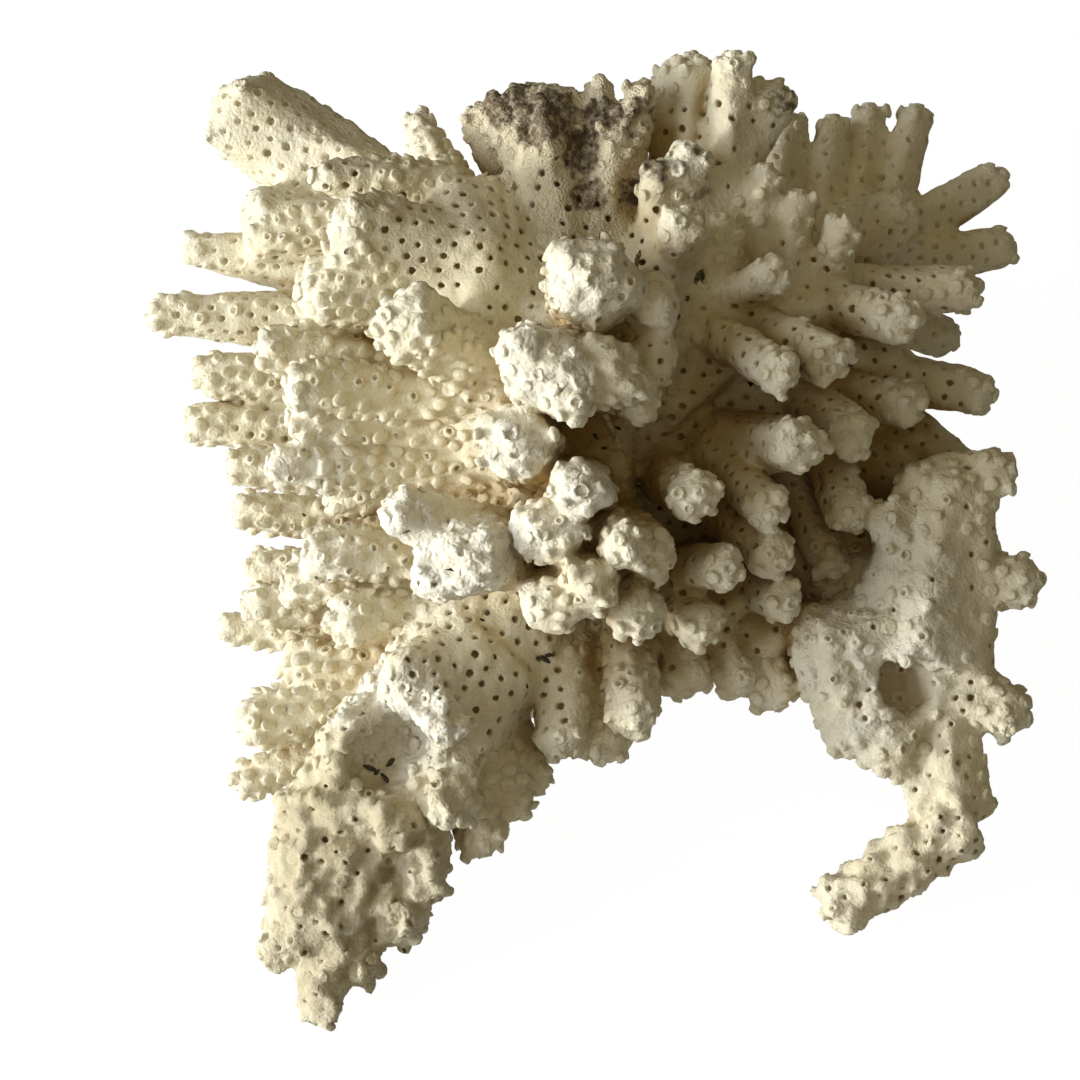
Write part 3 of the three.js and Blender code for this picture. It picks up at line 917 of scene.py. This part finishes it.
def tintGroup():
    group, given, result = nodeGroup("coralTint", [
        ("Clean", "NodeSocketColor", (0.8, 0.75, 0.6, 1)),
        ("Recess", "NodeSocketColor", (0.5, 0.35, 0.15, 1)),
        ("Tip", "NodeSocketColor", (0.9, 0.87, 0.76, 1)),
        ("Pit", "NodeSocketColor", (0.1, 0.07, 0.03, 1)),
        ("Stain", "NodeSocketColor", (0.08, 0.05, 0.03, 1)),
        ("Staining", "NodeSocketFloat", 0.0),
    ], [("Colour", "NodeSocketColor"), ("Roughness", "NodeSocketFloat")])
    where = group.nodes.new("ShaderNodeTexCoord").outputs["Object"]
    # painted shade: the more sky the coral hides from a point, the more it turns to the warm brown Recess
    # colour, warm like light bounced between the branches
    sheltered = ramp(group, attributeValue(group, "cavity"), 0.26, 0.7)
    colour = mixed(group, sheltered, given.outputs["Clean"], given.outputs["Recess"])
    tipShare = sums(group, "POWER", attributeValue(group, "tip"), 4.0)
    tipShare = sums(group, "MULTIPLY", tipShare, 0.8)
    colour = mixed(group, tipShare, colour, given.outputs["Tip"])
    chalky = sums(group, "MULTIPLY", attributeValue(group, "chalk"), 0.8)
    colour = mixed(group, chalky, colour, (0.87, 0.85, 0.77, 1))
    mottle = ramp(group, speckle(group, where, 6 * mm), 0.3, 0.7)
    colour = mixed(group, sums(group, "MULTIPLY", mottle, 0.35), colour, (0.9, 0.82, 0.64, 1), "MULTIPLY")
    grains = ramp(group, speckle(group, where, 0.7 * mm), 0.35, 0.65)
    colour = mixed(group, sums(group, "MULTIPLY", grains, 0.25), colour, (0.85, 0.8, 0.68, 1), "MULTIPLY")
    # dirt and painted shade: the dull patches turn greyer and darker
    dirtAndShade = sums(group, "MULTIPLY", attributeValue(group, "dull"), 0.8)
    colour = mixed(group, dirtAndShade, colour, (0.66, 0.63, 0.57, 1), "MULTIPLY")
    patchy = sums(group, "ADD", sums(group, "ADD", attributeValue(group, "stain"), given.outputs["Staining"]),
                  sums(group, "MULTIPLY", sums(group, "SUBTRACT", speckle(group, where, 2.2 * mm), 0.5), 1.6))
    stained = ramp(group, patchy, 0.35, 0.75)
    crustSpots = ramp(group, speckle(group, where, 0.9 * mm), 0.42, 0.66)
    crust = mixed(group, crustSpots, given.outputs["Stain"], (0.34, 0.28, 0.19, 1))
    colour = mixed(group, sums(group, "MULTIPLY", stained, 0.9), colour, crust)
    # painted shade: holes, the pockets at the foot of the nubs and the hollows darken towards the dark brown
    # Pit colour
    pits = ramp(group, attributeValue(group, "pit"), 0.15, 0.9)
    colour = mixed(group, sums(group, "MULTIPLY", pits, 0.85), colour, given.outputs["Pit"])
    group.links.new(colour, result.inputs["Colour"])
    dull = sums(group, "ADD", sums(group, "MULTIPLY", grains, 0.12), 0.82)
    group.links.new(dull, result.inputs["Roughness"])
    return group


def popcorn(group, where, size):
    swing = sums(group, "SUBTRACT", speckle(group, where, 1.4 * size, 1.0), 0.5)
    folded = sums(group, "ABSOLUTE", swing, 0.0)
    return sums(group, "MULTIPLY", folded, 3.0)


def grainGroup():
    group, given, result = nodeGroup("coralGrain", [
        ("Crumbs", "NodeSocketFloat", 1.0),
        ("Popcorn", "NodeSocketFloat", 1.0),
    ], [("Height", "NodeSocketFloat")])
    where = group.nodes.new("ShaderNodeTexCoord").outputs["Object"]
    crumbs = sums(group, "ADD", speckle(group, where, 0.5 * mm, 4.0), popcorn(group, where, 0.5 * mm))
    crumbs = sums(group, "MULTIPLY", crumbs, given.outputs["Crumbs"])
    rough = sums(group, "POWER", attributeValue(group, "tip"), 5.0)
    rough = sums(group, "MAXIMUM", rough, attributeValue(group, "chalk"))
    knobs = sums(group, "ADD", popcorn(group, where, 1.05 * mm), speckle(group, where, 1.3 * mm))
    knobs = sums(group, "MULTIPLY", sums(group, "MULTIPLY", knobs, rough), given.outputs["Popcorn"])
    group.links.new(sums(group, "ADD", crumbs, knobs), result.inputs["Height"])
    return group


tint = tintGroup()
grain = grainGroup()


def chalkMaterial(name, look):
    material = bpy.data.materials.new(name)
    material.use_nodes = True
    tree = material.node_tree
    shader = tree.nodes["Principled BSDF"]
    shader.inputs["Specular IOR Level"].default_value = 0.25
    colour = tree.nodes.new("ShaderNodeGroup")
    colour.node_tree = tint
    for socketName, value in look["tint"].items():
        colour.inputs[socketName].default_value = value
    tree.links.new(colour.outputs["Colour"], shader.inputs["Base Color"])
    tree.links.new(colour.outputs["Roughness"], shader.inputs["Roughness"])
    relief = tree.nodes.new("ShaderNodeGroup")
    relief.node_tree = grain
    for socketName, value in look["grain"].items():
        relief.inputs[socketName].default_value = value
    bump = tree.nodes.new("ShaderNodeBump")
    bump.inputs["Distance"].default_value = look["bump"]
    bump.inputs["Strength"].default_value = 0.7
    tree.links.new(relief.outputs["Height"], bump.inputs["Height"])
    tree.links.new(bump.outputs["Normal"], shader.inputs["Normal"])
    return material


creamLook = {
    "tint": {
        "Clean": (0.80, 0.742, 0.57, 1), "Recess": (0.37, 0.22, 0.035, 1), "Tip": (0.87, 0.835, 0.70, 1),
        "Pit": (0.24, 0.15, 0.055, 1), "Stain": (0.10, 0.065, 0.035, 1), "Staining": 0.0,
    },
    "grain": {"Crumbs": 0.3, "Popcorn": 1.2},
    "bump": 0.36 * mm,
}
weatheredLook = {
    "tint": {
        "Clean": (0.74, 0.67, 0.50, 1), "Recess": (0.42, 0.29, 0.13, 1), "Tip": (0.72, 0.65, 0.50, 1),
        "Pit": (0.08, 0.05, 0.025, 1), "Stain": (0.09, 0.06, 0.035, 1), "Staining": 0.0,
    },
    "grain": {"Crumbs": 0.8, "Popcorn": 1.5},
    "bump": 0.4 * mm,
}


def dirtMaterial(name, dark, pale, size):
    material = bpy.data.materials.new(name)
    material.use_nodes = True
    tree = material.node_tree
    shader = tree.nodes["Principled BSDF"]
    shader.inputs["Roughness"].default_value = 0.7
    where = tree.nodes.new("ShaderNodeTexCoord").outputs["Object"]
    colour = mixed(tree, ramp(tree, speckle(tree, where, size), 0.4, 0.65), dark, pale)
    tree.links.new(colour, shader.inputs["Base Color"])
    return material


cream = chalkMaterial("creamChalk", creamLook)
weathered = chalkMaterial("weatheredChalk", weatheredLook)

pieces = limbPieces()
total = 0
for name, piece in sorted(pieces.items()):
    triangles, gaps = closePiece(piece)
    total += triangles
    piece.data.materials.clear()
    piece.data.materials.append(weathered if name == "top_limb" else cream)
    piece.name = name + ".coral"
    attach(piece, "root")
    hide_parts(name)
    print(name, triangles, "triangles,", gaps, "open edges")
report(f"pieces closed: {len(pieces)}, {total} triangles")
darkDirt = dirtMaterial("darkDirt", (0.02, 0.014, 0.008, 1), (0.11, 0.075, 0.04, 1), 0.4 * mm)
crumbPiece.data.materials.append(darkDirt)
strawShred = dirtMaterial("strawShred", (0.5, 0.38, 0.2, 1), (0.78, 0.68, 0.46, 1), 0.5 * mm)
shredPiece.data.materials.append(strawShred)
for piece in (crumbPiece, shredPiece):
    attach(piece, "root")


# pale floor, a grazing key from the left, broad soft lights from the left, the front and the top, weak fill
stage = {
    "floor": 6.0,
    "floorColour": (0.85, 0.85, 0.85, 1),
    "fill": 0.05,
    "fillColour": (1.0, 0.9, 0.68, 1),
}
# each light: where it comes from as right, up and near in the photo's view, distance and size in metres,
# power in watts
lights = {
    "key": {"from": (-0.9, -0.17, 0.22), "distance": 1.5, "size": 0.22,
            "power": 15, "colour": (1.0, 0.99, 0.94)},
    "leftSoft": {"from": (-1, 0, 0.5), "distance": 1.4, "size": 1.4,
                 "power": 20, "colour": (0.92, 0.96, 1.0)},
    "frontSoft": {"from": (0, 0, 1), "distance": 1.4, "size": 1.4,
                  "power": 2.6, "colour": (1.0, 0.86, 0.52)},
    "topSoft": {"from": (0, 1, 0.4), "distance": 1.4, "size": 1.4,
                "power": 1.6, "colour": (1.0, 0.78, 0.35)},
}


def setLight(name, look):
    lamp = bpy.data.lights.new(name, "AREA")
    lamp.shape = "DISK"
    lamp.size = look["size"]
    lamp.energy = look["power"]
    lamp.color = look["colour"]
    right, up, near = look["from"]
    way = (viewRight * right + viewUp * up + viewNear * near).normalized()
    light = bpy.data.objects.new(name, lamp)
    light.location = photoView["middle"] + way * look["distance"]
    light.rotation_euler = (-way).to_track_quat("-Z", "Y").to_euler()
    bpy.context.scene.collection.objects.link(light)


def setStage():
    ground = bmesh.new()
    bmesh.ops.create_grid(ground, x_segments=1, y_segments=1, size=stage["floor"] / 2)
    floorMesh = bpy.data.meshes.new("floor")
    ground.to_mesh(floorMesh)
    ground.free()
    floor = bpy.data.objects.new("floor", floorMesh)
    bpy.context.scene.collection.objects.link(floor)
    pale = bpy.data.materials.new("paleFloor")
    pale.use_nodes = True
    tree = pale.node_tree
    shader = tree.nodes["Principled BSDF"]
    shader.inputs["Base Color"].default_value = stage["floorColour"]
    shader.inputs["Roughness"].default_value = 0.9
    glow = tree.nodes.new("ShaderNodeEmission")
    glow.inputs["Color"].default_value = (1, 1, 1, 1)
    glow.inputs["Strength"].default_value = 1.08
    lightPath = tree.nodes.new("ShaderNodeLightPath")
    seenShare = tree.nodes.new("ShaderNodeMath")
    seenShare.operation = "MULTIPLY"
    seenShare.inputs[1].default_value = 0.9
    tree.links.new(lightPath.outputs["Is Camera Ray"], seenShare.inputs[0])
    blend = tree.nodes.new("ShaderNodeMixShader")
    tree.links.new(seenShare.outputs[0], blend.inputs[0])
    tree.links.new(shader.outputs[0], blend.inputs[1])
    tree.links.new(glow.outputs[0], blend.inputs[2])
    tree.links.new(blend.outputs[0], tree.nodes["Material Output"].inputs["Surface"])
    floorMesh.materials.append(pale)
    for name, look in lights.items():
        setLight(name, look)
    world = bpy.data.worlds.new("fill")
    bpy.context.scene.world = world
    world.use_nodes = True
    world.node_tree.nodes["Background"].inputs["Color"].default_value = stage["fillColour"]
    world.node_tree.nodes["Background"].inputs["Strength"].default_value = stage["fill"]
    bpy.context.scene.view_settings.view_transform = "Standard"


def setCamera():
    lens = bpy.data.cameras.new("camera")
    lens.sensor_width = photoView["sensor"]
    lens.lens = photoView["sensor"] * photoView["distance"] / (photoView["pixel"] * photoView["pixels"])
    lens.clip_start = 0.01
    lens.clip_end = 20
    camera = bpy.data.objects.new("camera", lens)
    camera.location = eye
    camera.rotation_euler = (math.pi / 2 - photoView["steepness"], 0, 0)
    bpy.context.scene.collection.objects.link(camera)
    bpy.context.scene.camera = camera


setStage()
setCamera()
report("stage, light and camera set")
